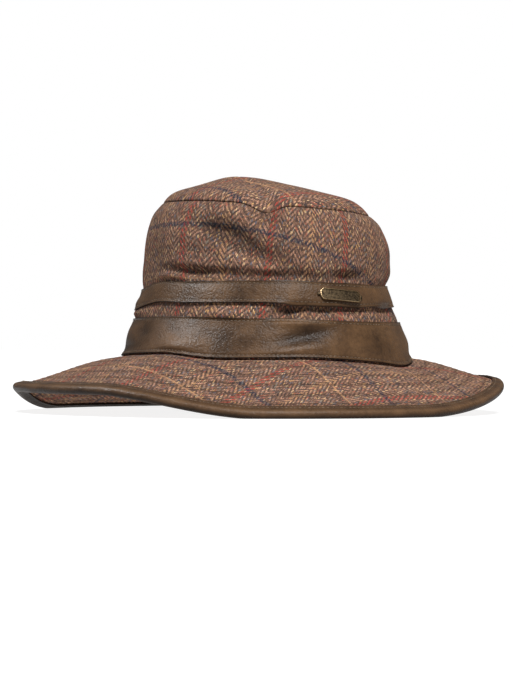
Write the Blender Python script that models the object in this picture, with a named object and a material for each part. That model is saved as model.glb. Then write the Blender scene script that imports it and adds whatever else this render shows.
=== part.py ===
# A tweed hat: a soft round crown, two leather bands, a wide brim bound in leather and a brass badge.
# The front is -Y, up is +Z and the wearer's right is -X. The origin lies under the middle of the brim,
# on the surface that the hat rests on. Angles are in degrees, from the front round by the wearer's right.

import math
from collections import namedtuple

import bmesh
import bpy
from mathutils import Vector

# Driving dimensions, in metres
headHalfLength = 0.102
headHalfWidth = 0.085
crownForward = 0.0095
brimRise = 0.034
sideHeight = 0.095
crownTaper = 0.0255
crestRise = 0.0226
crestBack = 0.0111
crestAside = 0.0142
clothWall = 0.0018
brimHalfLength = 0.1675
brimHalfWidth = 0.152
plyWall = 0.0013
leatherWall = 0.0012
bindingWidth = 0.008
wideBandWidth = 0.0245
bandSpacing = 0.0095
narrowBandWidth = 0.0138
badgeLength = 0.0258
badgeWidth = 0.0072
badgeThickness = 0.0014
badgeRimWidth = 0.001
badgeRecess = 0.0005
badgeRimSlope = 0.0003
badgeCorner = 0.0017
badgeEarLength = 0.002
badgeEarWidth = 0.0028
badgeAngle = 9.0
badgeTilt = 2.5
dentDepth = 0.0035
brimSwell = 0.05
brimBow = 0.09
restSquash = 0.0005
sewnGap = 0.0003

# How finely the cloth is divided
columns = 60
upperShares = (0.1, 0.2, 0.34, 0.5, 0.66, 0.8, 0.91, 1)
tipShares = (0, 0.06, 0.14, 0.28, 0.5, 0.76, 1)
brimShares = (0, 0.24, 0.5, 0.77, 1)
BandRows = namedtuple("BandRows", "wide narrow")
bandRows = BandRows(3, 2)
rollSteps = 6
badgeMiddleCuts = (0.6, 0.3, 0)
earInsetShare = 0.6

# Steps for finding the direction square to a surface: in shares, in degrees, and in shares of the brim's width
shareStep = 0.01
angleStep = 0.5
edgeStep = 0.03
leastLength = 1e-7
mergeDistance = 1e-6
sharpAngle = 50

# How far the wall of the crown has drawn in at each share of its height, as a share of its whole taper
Section = namedtuple("Section", "share drawn")
sideSections = (
    Section(0.00, 0.00),
    Section(0.13, 0.17),
    Section(0.25, 0.33),
    Section(0.35, 0.41),
    Section(0.42, 0.50),
    Section(0.50, 0.57),
    Section(0.55, 0.51),
    Section(0.60, 0.49),
    Section(0.67, 0.52),
    Section(0.75, 0.55),
    Section(0.82, 0.60),
    Section(0.88, 0.67),
    Section(0.94, 0.78),
    Section(1.00, 1.00),
)

# How far the top panel has climbed to its crest at each share of the way in from its seam
Climb = namedtuple("Climb", "share climbed")
tipSections = (
    Climb(0.00, 0.00),
    Climb(0.05, 0.18),
    Climb(0.12, 0.34),
    Climb(0.22, 0.465),
    Climb(0.40, 0.61),
    Climb(0.60, 0.765),
    Climb(0.80, 0.915),
    Climb(1.00, 1.00),
)

# How far each level of the crown stands above or below its usual height, in hundredths of the side height
Level = namedtuple("Level", "angle foot wideTop narrow seam")
levels = (
    Level(-90, 2.1, -1.1, -1.6, -3.4),
    Level(-57, 1.1, -1.3, -1.6, -4.2),
    Level(-25, -4.7, -1.8, -1.9, -4.4),
    Level(-4, -2.5, -1.9, -1.8, -3.2),
    Level(26, 0.5, -0.7, -0.5, -1.2),
    Level(43, 0.4, 0.0, 0.1, 0.8),
    Level(64, 0.5, 1.5, 0.4, 2.8),
    Level(83, 3.6, 1.9, 0.8, 4.8),
    Level(98, 3.4, 1.9, 1.6, 5.6),
    Level(123, 2.1, 1.9, -3.0, 6.4),
    Level(180, -2.1, -0.5, -4.0, 3.6),
    Level(217, 0.0, -1.0, -3.0, 0.2),
)

# Dents and swells of the crown's cloth. Angle and share are the middle, turn and reach are the half sizes
# round and up, slant is the share that it climbs over its turn, and depth is in shares of the dent depth.
Fold = namedtuple("Fold", "angle share turn reach slant depth")
sideFolds = (
    Fold(58, 0.80, 17, 0.065, 0.11, 1.0),
    Fold(44, 0.93, 8, 0.10, 0.0, 0.9),
    Fold(57, 0.64, 13, 0.06, 0.04, -0.5),
    Fold(80, 0.55, 10, 0.03, -0.01, 0.4),
    Fold(60, 0.55, 12, 0.03, 0.01, 0.5),
    Fold(31, 0.55, 6, 0.03, 0.0, 0.4),
    Fold(0, 0.57, 14, 0.035, -0.01, 0.35),
    Fold(103, 0.78, 14, 0.10, 0.0, -0.35),
    Fold(123, 0.36, 15, 0.07, 0.0, -0.7),
    Fold(-57, 0.27, 15, 0.08, 0.0, -0.6),
    Fold(-45, 0.76, 15, 0.10, 0.05, -0.3),
    Fold(-84, 0.74, 16, 0.10, 0.06, 0.7),
    Fold(168, 0.70, 15, 0.10, -0.05, 0.6),
    Fold(215, 0.66, 14, 0.08, 0.05, 0.5),
)
seamPinch = Fold(44, 1, 9, 0, 0, 1.5)

# The raised stretches of the brim's edge: where each begins and is fully up, and where it falls and is down
Wing = namedtuple("Wing", "begins full falls ends lift")
rightWing = Wing(39, 80, 124, 158, 0.0135)
leftWing = Wing(203, 248, 302, 362, 0.017)


# A smooth curve through a table's rows: one column against their first one. With a turn it repeats over it.
def readTable(rows, place, column, turn=None):
    points = [(row[0], getattr(row, column)) for row in rows]
    if turn:
        place = (place - points[0][0]) % turn + points[0][0]
        points = [(points[-1][0] - turn, points[-1][1])] + points
        points += [(points[1][0] + turn, points[1][1]), (points[2][0] + turn, points[2][1])]
    slopes = []
    for i in range(len(points)):
        before, after = points[max(i - 1, 0)], points[min(i + 1, len(points) - 1)]
        slopes.append((after[1] - before[1]) / (after[0] - before[0]))
    for i in range(len(points) - 1):
        (x0, y0), (x1, y1) = points[i], points[i + 1]
        if place <= x1 or i == len(points) - 2:
            break
    span = x1 - x0
    t = min(max((place - x0) / span, 0), 1)
    rise = (3 - 2 * t) * t * t
    lead = t * (1 - t) * (1 - t) * slopes[i] - t * t * (1 - t) * slopes[i + 1]
    return y0 + (y1 - y0) * rise + lead * span


def easeBetween(low, high, place):
    t = min(max((place - low) / (high - low), 0), 1)
    return t * t * (3 - 2 * t)


def turnBetween(angle, middle):
    return (angle - middle + 180) % 360 - 180


# A point of an oval, drawn in by some distance square to its edge
def ovalPoint(halfWidth, halfLength, angle, drawnIn):
    s, c = math.sin(math.radians(angle)), math.cos(math.radians(angle))
    outward = Vector((-s / halfWidth, -c / halfLength, 0)).normalized()
    return Vector((-s * halfWidth, -c * halfLength, 0)) - outward * drawnIn


def headPoint(angle, drawnIn):
    return ovalPoint(headHalfWidth, headHalfLength, angle, drawnIn) - Vector((0, crownForward, 0))


def level(angle, name, usual):
    return usual + sideHeight * readTable(levels, angle, name, 360) / 100


def footHeight(angle):
    return level(angle, "foot", brimRise)


def wideBandTop(angle):
    return level(angle, "wideTop", brimRise + wideBandWidth)


def narrowBandLow(angle):
    return level(angle, "narrow", brimRise + wideBandWidth + bandSpacing)


# The usual shares of the side height at which the bands' edges lie
wideTopShare = wideBandWidth / sideHeight
narrowLowShare = (wideBandWidth + bandSpacing) / sideHeight
narrowTopShare = (wideBandWidth + bandSpacing + narrowBandWidth) / sideHeight


def foldDepth(fold, angle, share):
    around = turnBetween(angle, fold.angle) / fold.turn
    up = (share - fold.share - fold.slant * around) / fold.reach if fold.reach else 0
    return dentDepth * fold.depth * math.exp(-around * around - up * up)


def seamHeight(angle):
    return level(angle, "seam", brimRise + sideHeight) - foldDepth(seamPinch, angle, 1)


# The height of a share of the crown's wall, which is stretched or squeezed between the levels at that angle
def sideHeightAt(angle, share):
    low = narrowBandLow(angle)
    steps = (
        (0, footHeight(angle) + sewnGap),
        (wideTopShare, wideBandTop(angle)),
        (narrowLowShare, low),
        (narrowTopShare, low + narrowBandWidth),
        (1, seamHeight(angle)),
    )
    for (share0, height0), (share1, height1) in zip(steps, steps[1:]):
        if share <= share1:
            break
    return height0 + (height1 - height0) * (share - share0) / (share1 - share0)


def sidePoint(angle, share):
    drawnIn = crownTaper * readTable(sideSections, share, "drawn")
    drawnIn += sum(foldDepth(fold, angle, share) for fold in sideFolds)
    return headPoint(angle, drawnIn) + Vector((0, 0, sideHeightAt(angle, share)))


def tipPoint(angle, share):
    rim = sidePoint(angle, 1)
    crest = Vector((-crestAside, crestBack - crownForward, brimRise + sideHeight + crestRise))
    point = rim.lerp(crest, share)
    point.z = rim.z + (crest.z - rim.z) * readTable(tipSections, share, "climbed")
    return point


def brimLift(angle):
    lift = 0
    for wing in (rightWing, leftWing):
        place = (angle - wing.begins) % 360 + wing.begins
        up = easeBetween(wing.begins, wing.full, place)
        lift += wing.lift * up * (1 - easeBetween(wing.falls, wing.ends, place))
    return lift


plyStack = 2 * plyWall + sewnGap
rollInside = plyStack / 2 + sewnGap
rollOutside = rollInside + leatherWall


# The surface half way through the brim, from under the crown's wall to the middle of the edge's roll
def brimMiddle(angle, share):
    inner = headPoint(angle, clothWall)
    outer = ovalPoint(brimHalfWidth, brimHalfLength, angle, rollOutside)
    point = inner.lerp(outer, share)
    start = footHeight(angle) - plyStack / 2
    end = rollOutside - restSquash + brimLift(angle)
    fallen = share - brimSwell * math.sin(2 * math.pi * share) - brimBow * math.sin(math.pi * share)
    point.z = start + (end - start) * fallen
    return point


# The direction square to a surface, on its outer side where its share runs upwards or inwards
def squareTo(surface, angle, share):
    low, high = max(share - shareStep, 0), min(share + shareStep, 1)
    along = surface(angle, high) - surface(angle, low)
    around = surface(angle + angleStep, share) - surface(angle - angleStep, share)
    if around.length < leastLength:
        return Vector((0, 0, 1))
    return along.cross(around).normalized()


def seamSquare(angle):
    onSide, onTip = squareTo(sidePoint, angle, 1 - shareStep), squareTo(tipPoint, angle, shareStep)
    return (onSide + onTip).normalized()


def footSquare(angle):
    return (headPoint(angle, 0) - headPoint(angle, clothWall)).normalized()


def evenShares(low, high, rows):
    return [low + (high - low) * row / rows for row in range(rows + 1)]


wideBandShares = evenShares(0, wideTopShare, bandRows.wide)
narrowBandShares = evenShares(narrowLowShare, narrowTopShare, bandRows.narrow)


# One slice of the crown's wall: up its outer face and down its inner face
def sideSlice(angle):
    upper = [narrowTopShare + (1 - narrowTopShare) * share for share in upperShares]
    outer, inner = [], []
    for share in wideBandShares + narrowBandShares + upper:
        point = sidePoint(angle, min(share, 1 - sewnGap / 2 / sideHeight))
        square = squareTo(sidePoint, angle, share)
        if share == 0:
            square = footSquare(angle)
        if share == 1:
            square = seamSquare(angle)
        outer.append(point)
        inner.append(point - square * clothWall)
    return outer + inner[::-1]


# One slice of the top panel, from the crest down its outer face and back along its inner face
def tipSlice(angle):
    outer, inner = [], []
    for share in tipShares:
        point = tipPoint(angle, max(share, sewnGap / 2 / headHalfWidth))
        square = seamSquare(angle) if share == 0 else squareTo(tipPoint, angle, share)
        outer.append(point)
        inner.append(point - square * clothWall)
    return outer[::-1] + inner


# One slice of a band that lies on the crown's wall
def bandSlice(angle, shares):
    outer, inner = [], []
    for share in shares:
        point, square = sidePoint(angle, share), squareTo(sidePoint, angle, share)
        inner.append(point + square * sewnGap)
        outer.append(point + square * (sewnGap + leatherWall))
    return outer + inner[::-1]


def wideBandSlice(angle):
    return bandSlice(angle, wideBandShares)


def narrowBandSlice(angle):
    return bandSlice(angle, narrowBandShares)


# One slice of a brim ply between two distances from the middle surface
def plySlice(angle, low, high):
    points = [(brimMiddle(angle, share), -squareTo(brimMiddle, angle, share)) for share in brimShares]
    upper = [point + square * high for point, square in points]
    lower = [point + square * low for point, square in points]
    return upper + lower[::-1]


def upperPlySlice(angle):
    return plySlice(angle, sewnGap / 2, plyStack / 2)


def underPlySlice(angle):
    return plySlice(angle, -plyStack / 2, -sewnGap / 2)


# One slice of the leather folded over the brim's edge, pressed flat where it meets the surface below
def bindingSlice(angle):
    middle = brimMiddle(angle, 1)
    up = -squareTo(brimMiddle, angle, 1)
    out = (middle - brimMiddle(angle, 1 - edgeStep)).normalized()
    tail = out * (rollOutside - bindingWidth)
    outer, inner = [middle + tail + up * rollOutside], [middle + tail + up * rollInside]
    for step in range(rollSteps + 1):
        turn = math.pi * (0.5 - step / rollSteps)
        spoke = out * math.cos(turn) + up * math.sin(turn)
        outer.append(middle + spoke * rollOutside)
        inner.append(middle + spoke * rollInside)
    outer.append(middle + tail - up * rollOutside)
    inner.append(middle + tail - up * rollInside)
    for point in outer:
        point.z = max(point.z, 0)
    return outer + inner[::-1]


# The badge follows the narrow band. Along is the way round the band and across is the way up it.
def badgePoint(along, across, proud):
    tilt = math.radians(badgeTilt)
    along, across = (
        along * math.cos(tilt) + across * math.sin(tilt),
        across * math.cos(tilt) - along * math.sin(tilt),
    )
    nextPoint, lastPoint = sidePoint(badgeAngle + 1, 0.5), sidePoint(badgeAngle - 1, 0.5)
    pitch = (nextPoint - lastPoint).length / 2
    angle = badgeAngle - along / pitch
    low, middle, high = narrowBandSlice(angle)[: bandRows.narrow + 1]
    square = squareTo(sidePoint, angle, (narrowLowShare + narrowTopShare) / 2)
    swell = max((middle - low.lerp(high, 0.5)).dot(square), 0)
    return low.lerp(high, 0.5 + across / narrowBandWidth) + square * (swell + sewnGap + proud)


def badgeHalfWidth(along):
    end = badgeLength / 2
    if abs(along) > end:
        return badgeEarWidth / 2
    return badgeWidth / 2 - max(abs(along) - end + badgeCorner, 0)


# One slice across the badge: along its face from low to high, and back along its rear
def badgeSlice(along):
    half = badgeHalfWidth(along)
    inRecess = abs(along) < badgeLength / 2 - badgeRimWidth - badgeRimSlope / 2
    face = badgeThickness - badgeRecess if inRecess else badgeThickness
    if abs(along) > badgeLength / 2:
        face = badgeThickness / 2
    rim = badgeThickness if abs(along) <= badgeLength / 2 else face
    inset = min(badgeRimWidth, half * earInsetShare)
    acrossAndProud = (
        (-half, rim),
        (-half + inset, rim),
        (-half + inset + badgeRimSlope, face),
        (half - inset - badgeRimSlope, face),
        (half - inset, rim),
        (half, rim),
        (half, 0),
        (-half, 0),
    )
    return [badgePoint(along, across, proud) for across, proud in acrossAndProud]


def badgeSlices():
    end = badgeLength / 2
    half = [end + badgeEarLength, end + badgeRimSlope, end, end - badgeRimWidth]
    half += [end - badgeRimWidth - badgeRimSlope, end - badgeCorner - badgeRimSlope]
    half += [end * cut for cut in badgeMiddleCuts]
    return [badgeSlice(along) for along in [-a for a in half[:-1]] + half[::-1]]


# A closed body through slices with equal counts of points. A ring's slices meet again at its start, and
# a dome's slices all begin and end on its middle.
def bodyThrough(name, slices, ring=True, dome=False):
    mesh = bmesh.new()
    rows = [[mesh.verts.new(point) for point in points] for points in slices]
    count = len(rows[0])
    for i in range(len(rows) if ring else len(rows) - 1):
        here, there = rows[i], rows[(i + 1) % len(rows)]
        for j in range(count - 1 if dome else count):
            k = (j + 1) % count
            mesh.faces.new((here[j], here[k], there[k], there[j]))
    if not ring:
        mesh.faces.new(rows[0])
        mesh.faces.new(rows[-1])
    bmesh.ops.remove_doubles(mesh, verts=mesh.verts, dist=mergeDistance)
    bmesh.ops.triangulate(mesh, faces=mesh.faces)
    bmesh.ops.recalc_face_normals(mesh, faces=mesh.faces)
    data = bpy.data.meshes.new(name)
    mesh.to_mesh(data)
    mesh.free()
    data.shade_smooth()
    data.set_sharp_from_angle(angle=math.radians(sharpAngle))
    piece = bpy.data.objects.new(name, data)
    bpy.context.scene.collection.objects.link(piece)
    return piece


def roundBody(name, sliceAt, dome=False):
    return bodyThrough(name, [sliceAt(360 * i / columns) for i in range(columns)], dome=dome)


# Plain colours for the CAD model
Finish = namedtuple("Finish", "red green blue roughness metallic")
tweed = Finish(0.20, 0.13, 0.095, 0.95, 0.0)
tweedUnder = Finish(0.12, 0.085, 0.07, 0.95, 0.0)
leather = Finish(0.115, 0.08, 0.052, 0.5, 0.0)
brass = Finish(0.42, 0.31, 0.16, 0.35, 1.0)


def paint(piece, finish):
    material = bpy.data.materials.new(piece.name)
    material.use_nodes = True
    shader = material.node_tree.nodes["Principled BSDF"]
    shader.inputs["Base Color"].default_value = (finish.red, finish.green, finish.blue, 1)
    shader.inputs["Roughness"].default_value = finish.roughness
    shader.inputs["Metallic"].default_value = finish.metallic
    piece.data.materials.append(material)


def clearScene():
    for piece in list(bpy.data.objects):
        bpy.data.objects.remove(piece, do_unlink=True)


def makeHat():
    paint(roundBody("crown_side", sideSlice), tweed)
    paint(roundBody("crown_tip", tipSlice, dome=True), tweed)
    paint(roundBody("brim_upper", upperPlySlice), tweed)
    paint(roundBody("brim_under", underPlySlice), tweedUnder)
    paint(roundBody("brim_binding", bindingSlice), leather)
    paint(roundBody("wide_band", wideBandSlice), leather)
    paint(roundBody("narrow_band", narrowBandSlice), leather)
    paint(bodyThrough("badge", badgeSlices(), ring=False), brass)


clearScene()
makeHat()
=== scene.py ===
import functools
import math

import bmesh
import bpy
from mathutils import Matrix, Vector, noise


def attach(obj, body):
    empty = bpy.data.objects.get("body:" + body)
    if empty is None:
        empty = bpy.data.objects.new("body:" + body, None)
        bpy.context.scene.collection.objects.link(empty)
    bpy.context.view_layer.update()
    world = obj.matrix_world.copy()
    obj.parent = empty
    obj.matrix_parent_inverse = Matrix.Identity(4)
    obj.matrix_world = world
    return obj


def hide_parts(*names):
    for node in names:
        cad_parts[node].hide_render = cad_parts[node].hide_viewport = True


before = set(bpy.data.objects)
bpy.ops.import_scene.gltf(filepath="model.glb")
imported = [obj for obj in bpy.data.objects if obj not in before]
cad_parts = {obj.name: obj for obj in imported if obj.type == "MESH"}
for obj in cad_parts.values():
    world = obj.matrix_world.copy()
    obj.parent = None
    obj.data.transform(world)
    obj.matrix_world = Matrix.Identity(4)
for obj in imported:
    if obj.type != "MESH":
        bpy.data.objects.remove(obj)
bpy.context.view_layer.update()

scene = bpy.context.scene
print("frame loaded:", ", ".join(sorted(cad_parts)))

mergeDistance = 1e-6
millimetre = 0.001
backAngle = 180  # where the rings of brim and leather begin and end

# The hat's shape has the same curves as the part's source, in metres. Angles are in degrees, from the front
# (-Y) round by the wearer's right (-X). A share runs from 0 at the lower or outer edge of a panel to 1 at its
# other edge.
crown = {
    "halfLength": 0.102,
    "halfWidth": 0.085,
    "forward": 0.0095,
    "rise": 0.034,
    "height": 0.095,
    "taper": 0.0255,
    "wall": 0.0018,
    "dent": 0.0035,
    "crest": (-0.0142, 0.0016, 0.1516),
    "seamDepth": 0.0008,
    "seamReach": 0.0016,
    "softness": 0.00055,  # how far the cloth waves, and how wide its waves are
    "softnessSize": 0.028,
    "middleHeight": 0.08,  # of a point inside the crown that the faces turn away from
}
brim = {
    "halfLength": 0.1675,
    "halfWidth": 0.152,
    "ply": 0.0013,
    "swell": 0.05,
    "bow": 0.09,
    "restSquash": 0.0005,
    "quiltSpacing": 0.0096,
    "quiltDepth": 0.0006,
    "quiltReach": 0.0016,
    "quiltSwell": 0.35,  # of the depth, by which the cloth swells up between the rows
}
leatherWall = 0.0012
sewnGap = 0.0003
wideBand = {
    "name": "wide_band_leather",
    "width": 0.0245,
    "length": 540,  # mm of leather
    "bulge": 0.0005,
    "footCurl": 0.0003,
    "footReach": 0.1,
    "columns": 420,
    "rows": 30,
}
narrowBand = {
    "name": "narrow_band_leather",
    "width": 0.0138,
    "spacing": 0.0095,
    "length": 500,
    "bulge": 0.0005,
    "looseReach": 0.16,
    "columns": 420,
    "rows": 18,
}
plyStack = 2 * brim["ply"] + sewnGap
rollInside = plyStack / 2 + sewnGap
rollOutside = rollInside + leatherWall


# A smooth curve through (place, value) points, as a function. With a turn it repeats over that distance.
def smoothCurve(points, turn=None):
    first = points[0][0]
    if turn:
        again = [(place + turn, value) for place, value in points[:2]]
        points = [(points[-1][0] - turn, points[-1][1])] + points + again
    slopes = []
    for i in range(len(points)):
        before, after = points[max(i - 1, 0)], points[min(i + 1, len(points) - 1)]
        slopes.append((after[1] - before[1]) / (after[0] - before[0]))

    @functools.lru_cache(maxsize=None)
    def valueAt(place):
        if turn:
            place = (place - first) % turn + first
        i = 0
        while i < len(points) - 2 and place > points[i + 1][0]:
            i += 1
        (x0, y0), (x1, y1) = points[i], points[i + 1]
        t = min(max((place - x0) / (x1 - x0), 0), 1)
        rise = (3 - 2 * t) * t * t
        lead = t * (1 - t) * (1 - t) * slopes[i] - t * t * (1 - t) * slopes[i + 1]
        return y0 + (y1 - y0) * rise + lead * (x1 - x0)

    return valueAt


def easeBetween(low, high, place):
    t = min(max((place - low) / (high - low), 0), 1)
    return t * t * (3 - 2 * t)


def turnBetween(angle, middle):
    return (angle - middle + 180) % 360 - 180


# A smooth rise that is 1 in its middle and dies away over its reach
def bell(distance, reach):
    return math.exp(-((distance / reach) ** 2))


# How far the crown's wall has drawn in at each share of its height, as a share of its taper
drawnAt = smoothCurve([
    (0.00, 0.00), (0.13, 0.17), (0.25, 0.33), (0.35, 0.41), (0.42, 0.50), (0.50, 0.57), (0.55, 0.51),
    (0.60, 0.49), (0.67, 0.52), (0.75, 0.55), (0.82, 0.60), (0.88, 0.67), (0.94, 0.78), (1.00, 1.00),
])
# How far the top panel has climbed to its crest at each share of the way in
climbedAt = smoothCurve([
    (0.00, 0.00), (0.05, 0.18), (0.12, 0.34), (0.22, 0.465), (0.40, 0.61), (0.60, 0.765), (0.80, 0.915),
    (0.92, 0.965), (1.00, 0.975),
])
# How far each level of the crown lies above its usual height, in hundredths of the side's height
levelRows = [
    (-90, 2.1, -1.1, -1.6, -3.4), (-57, 1.1, -1.3, -1.6, -4.2), (-25, -4.7, -1.8, -1.9, -4.4),
    (-4, -2.5, -1.9, -1.8, -3.2), (26, 0.5, -0.7, -0.5, -1.2), (43, 0.4, 0.0, 0.1, 0.8),
    (64, 0.5, 1.5, 0.4, 2.8), (83, 3.6, 1.9, 0.8, 4.8), (98, 3.4, 1.9, 1.6, 5.6),
    (123, 2.1, 1.9, -3.0, 6.4), (180, -2.1, -0.5, -4.0, 3.6), (217, 0.0, -1.0, -3.0, 0.2),
]
levelNames = ("foot", "wideTop", "narrow", "seam")
levels = {}
for i, name in enumerate(levelNames):
    levels[name] = smoothCurve([(row[0], row[i + 1]) for row in levelRows], 360)
# Dents and swells of the side, as in the part's source: angle and share of the middle, half sizes round and
# up, slant, depth
sideFolds = [
    (58, 0.80, 17, 0.065, 0.11, 1.0), (44, 0.93, 8, 0.10, 0.0, 0.9), (57, 0.64, 13, 0.06, 0.04, -0.5),
    (80, 0.55, 10, 0.03, -0.01, 0.4), (60, 0.55, 12, 0.03, 0.01, 0.5), (31, 0.55, 6, 0.03, 0.0, 0.4),
    (0, 0.57, 14, 0.035, -0.01, 0.35), (103, 0.78, 14, 0.10, 0.0, -0.35), (123, 0.36, 15, 0.07, 0.0, -0.7),
    (-57, 0.27, 15, 0.08, 0.0, -0.6), (-45, 0.76, 15, 0.10, 0.05, -0.3), (-84, 0.74, 16, 0.10, 0.06, 0.7),
    (168, 0.70, 15, 0.10, -0.05, 0.6), (215, 0.66, 14, 0.08, 0.05, 0.5),
]
# Small creases of the worn cloth, which only the dressed hat has. Their hollows are also darkened with
# painted shade, and their swells lightened with painted light.
sideFolds += [
    (60, 0.745, 22, 0.06, 0.13, 1.35), (72, 0.82, 11, 0.032, 0.02, 0.55), (50, 0.89, 11, 0.045, 0.07, -0.55),
    (82, 0.566, 16, 0.026, 0.012, 1.00), (42, 0.545, 8, 0.026, 0.01, 0.90), (4, 0.548, 9, 0.028, 0.0, 0.85),
    (24, 0.535, 8, 0.025, 0.0, 0.30), (-20, 0.60, 12, 0.05, 0.03, 0.30), (34, 0.312, 7, 0.036, -0.02, 1.4),
    (19, 0.325, 8, 0.032, 0.0, 1.10), (2, 0.335, 9, 0.030, 0.0, 1.00), (-22, 0.34, 8, 0.030, 0.0, 0.80),
    (62, 0.283, 12, 0.035, 0.0, -0.80), (122, 0.31, 16, 0.060, 0.0, -0.55), (108, 0.62, 9, 0.10, 0.0, 0.35),
    (70, 0.67, 15, 0.06, 0.05, 0.40), (107, 0.77, 9, 0.13, 0.0, 0.75), (126, 0.50, 20, 0.050, 0.0, -0.50),
    (-53, 0.46, 13, 0.08, 0.0, 0.75), (-53, 0.36, 11, 0.05, 0.0, 0.45), (92, 0.533, 10, 0.018, 0.0, -0.70),
    (150, 0.56, 14, 0.03, 0.03, 0.5), (200, 0.56, 16, 0.03, -0.03, 0.5), (258, 0.57, 15, 0.03, 0.03, 0.5),
    (185, 0.31, 14, 0.03, 0.0, 0.5), (240, 0.31, 12, 0.03, 0.0, 0.5), (300, 0.56, 13, 0.03, -0.02, 0.5),
    (190, 0.86, 18, 0.05, 0.06, 0.5), (255, 0.80, 16, 0.06, -0.08, 0.6),
]
# A fold is left out where it has died away: this many half sizes round, or this spread from its middle
foldTurns, foldSpread = 3, 12
seamPinch = (47, 1, 8, 0.1, 0, 1.6)
# The raised stretches of the brim's edge: where each begins, is fully up, falls and ends, and its lift
wings = [(39, 80, 124, 158, 0.0135), (203, 248, 302, 362, 0.017)]

wideTopShare = wideBand["width"] / crown["height"]
narrowLowShare = (wideBand["width"] + narrowBand["spacing"]) / crown["height"]
narrowTopShare = narrowLowShare + narrowBand["width"] / crown["height"]


def ovalPoint(halfWidth, halfLength, angle, drawnIn):
    s, c = math.sin(math.radians(angle)), math.cos(math.radians(angle))
    outward = Vector((-s / halfWidth, -c / halfLength, 0)).normalized()
    return Vector((-s * halfWidth, -c * halfLength, 0)) - outward * drawnIn


def headPoint(angle, drawnIn):
    point = ovalPoint(crown["halfWidth"], crown["halfLength"], angle, drawnIn)
    return point - Vector((0, crown["forward"], 0))


def levelHeight(name, angle, above):
    return crown["rise"] + above + crown["height"] * levels[name](angle) / 100


# How deep one fold (a row of a fold table) is at a place
def foldDepth(fold, angle, share):
    middle, height, turn, reach, slant, depth = fold
    around = turnBetween(angle, middle) / turn
    up = (share - height - slant * around) / reach
    spread = around * around + up * up
    return depth * math.exp(-spread) if spread < foldSpread else 0


@functools.lru_cache(maxsize=None)
def levelSteps(angle):
    low = levelHeight("narrow", angle, wideBand["width"] + narrowBand["spacing"])
    seam = levelHeight("seam", angle, crown["height"]) - crown["dent"] * foldDepth(seamPinch, angle, 1)
    return (
        (0, levelHeight("foot", angle, sewnGap)),
        (wideTopShare, levelHeight("wideTop", angle, wideBand["width"])),
        (narrowLowShare, low),
        (narrowTopShare, low + narrowBand["width"]),
        (1, seam),
    )


# The side's folds as they cross one angle: the share where each one lies there, its half height and depth
@functools.lru_cache(maxsize=None)
def foldsNear(angle):
    near = []
    for middle, height, turn, reach, slant, depth in sideFolds:
        around = turnBetween(angle, middle) / turn
        if abs(around) < foldTurns:
            near.append((height + slant * around, reach, depth * math.exp(-around * around)))
    return near


def foldedIn(angle, share):
    return sum(depth * bell(share - height, reach) for height, reach, depth in foldsNear(angle))


def sidePoint(angle, share):
    steps = levelSteps(angle)
    for (share0, height0), (share1, height1) in zip(steps, steps[1:]):
        if share <= share1:
            break
    height = height0 + (height1 - height0) * (share - share0) / (share1 - share0)
    drawnIn = crown["taper"] * drawnAt(share)
    drawnIn += crown["dent"] * foldedIn(angle, share)
    return headPoint(angle, drawnIn) + Vector((0, 0, height))


def tipPoint(angle, share):
    rim, crest = sidePoint(angle, 1), Vector(crown["crest"])
    point = rim.lerp(crest, share)
    point.z = rim.z + (crest.z - rim.z) * climbedAt(share)
    return point


@functools.lru_cache(maxsize=None)
def brimLift(angle):
    lift = 0
    for begins, full, falls, ends, height in wings:
        place = (angle - begins) % 360 + begins
        lift += height * easeBetween(begins, full, place) * (1 - easeBetween(falls, ends, place))
    return lift


# The surface half way through the brim
def brimMiddle(angle, share):
    inner = headPoint(angle, crown["wall"])
    outer = ovalPoint(brim["halfWidth"], brim["halfLength"], angle, rollOutside)
    point = inner.lerp(outer, share)
    start = levelHeight("foot", angle, 0) - plyStack / 2
    end = rollOutside - brim["restSquash"] + brimLift(angle)
    fallen = share - brim["swell"] * math.sin(2 * math.pi * share) - brim["bow"] * math.sin(math.pi * share)
    point.z = start + (end - start) * fallen
    return point


# The direction square to a surface, on its outer side where its share runs upwards or inwards
def squareTo(surface, angle, share, shareStep=0.01, angleStep=0.5):
    low, high = max(share - shareStep, 0), min(share + shareStep, 1)
    along = surface(angle, high) - surface(angle, low)
    around = surface(angle + angleStep, share) - surface(angle - angleStep, share)
    return along.cross(around).normalized()


# The way out at the top seam, half way between those of the two panels close beside it
def seamSquare(angle, beside=0.01):
    return (squareTo(sidePoint, angle, 1 - beside) + squareTo(tipPoint, angle, beside)).normalized()


# A sheet of cloth or leather: a flat grid whose points are carried to their places. All three functions take
# the shares across and up the grid. weaveAt gives the place in the cloth in millimetres. The last one gives
# what the materials read as wear and painted light: on cloth painted shade, and a little painted light on its
# swells; on leather how rubbed pale or painted as a highlight, or below 0 how dark, from burnished cut edges
# and from painted shade.
def laySheet(columns, rows, placeAt, weaveAt, wearAndPaintedLightAt):
    mesh = bmesh.new()
    bmesh.ops.create_grid(mesh, x_segments=columns, y_segments=rows, size=0.5)
    weave = mesh.loops.layers.uv.new("weave")
    wearAndPaintedLight = mesh.verts.layers.float.new("wearAndPaintedLight")
    for vert in mesh.verts:
        across, up = vert.co.x + 0.5, vert.co.y + 0.5
        inCloth = weaveAt(across, up)
        for loop in vert.link_loops:
            loop[weave].uv = inCloth
        vert[wearAndPaintedLight] = wearAndPaintedLightAt(across, up)
        vert.co = placeAt(across, up)
    bmesh.ops.remove_doubles(mesh, verts=mesh.verts, dist=mergeDistance)
    return mesh


# Turns a sheet's faces to the side that a direction at each place points to
def faceTowards(mesh, directionAt):
    mesh.normal_update()
    if sum(face.normal.dot(directionAt(face.calc_center_median())) for face in mesh.faces) < 0:
        bmesh.ops.reverse_faces(mesh, faces=mesh.faces)
    mesh.normal_update()


edgeRounding = {"segments": 3, "fromAngle": 50}


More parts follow.
